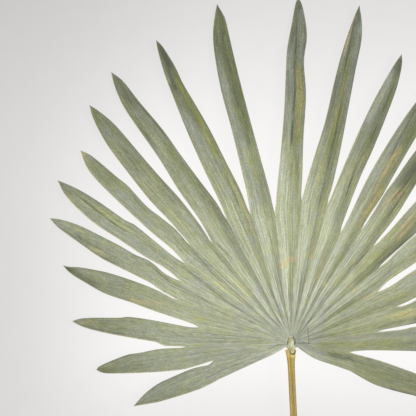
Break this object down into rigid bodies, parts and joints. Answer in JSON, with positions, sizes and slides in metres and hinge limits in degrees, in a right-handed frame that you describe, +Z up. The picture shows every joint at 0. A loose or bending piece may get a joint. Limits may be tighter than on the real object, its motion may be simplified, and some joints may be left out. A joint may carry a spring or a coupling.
{
  "type": "fan palm leaf",
  "caption": "Cut fan palm leaf lying face up: a pleated fan of pointed segments joined round a small hub plug, on a slender stem.",
  "frame": {"origin": "middle of the base of the whole leaf, on the surface that it lies on", "axes": "+Z up, out of the leaf's upper face; +Y from the cut end of the stem towards the middle segments; +X to the right, seen from above"},
  "size_m": [0.483, 0.78, 0.0205],
  "materials": {
    "blade": "matte, finely woven and streaked, grey green at the hub and olive at the tips",
    "plug": "smooth pale green with a soft sheen",
    "stem": "mustard brown with a soft sheen and lengthwise streaks"
  },
  "bodies": {
    "root": {"leaf_blade": "blade", "hub_plug": "plug", "stem": "stem"}
  },
  "joints": []
}
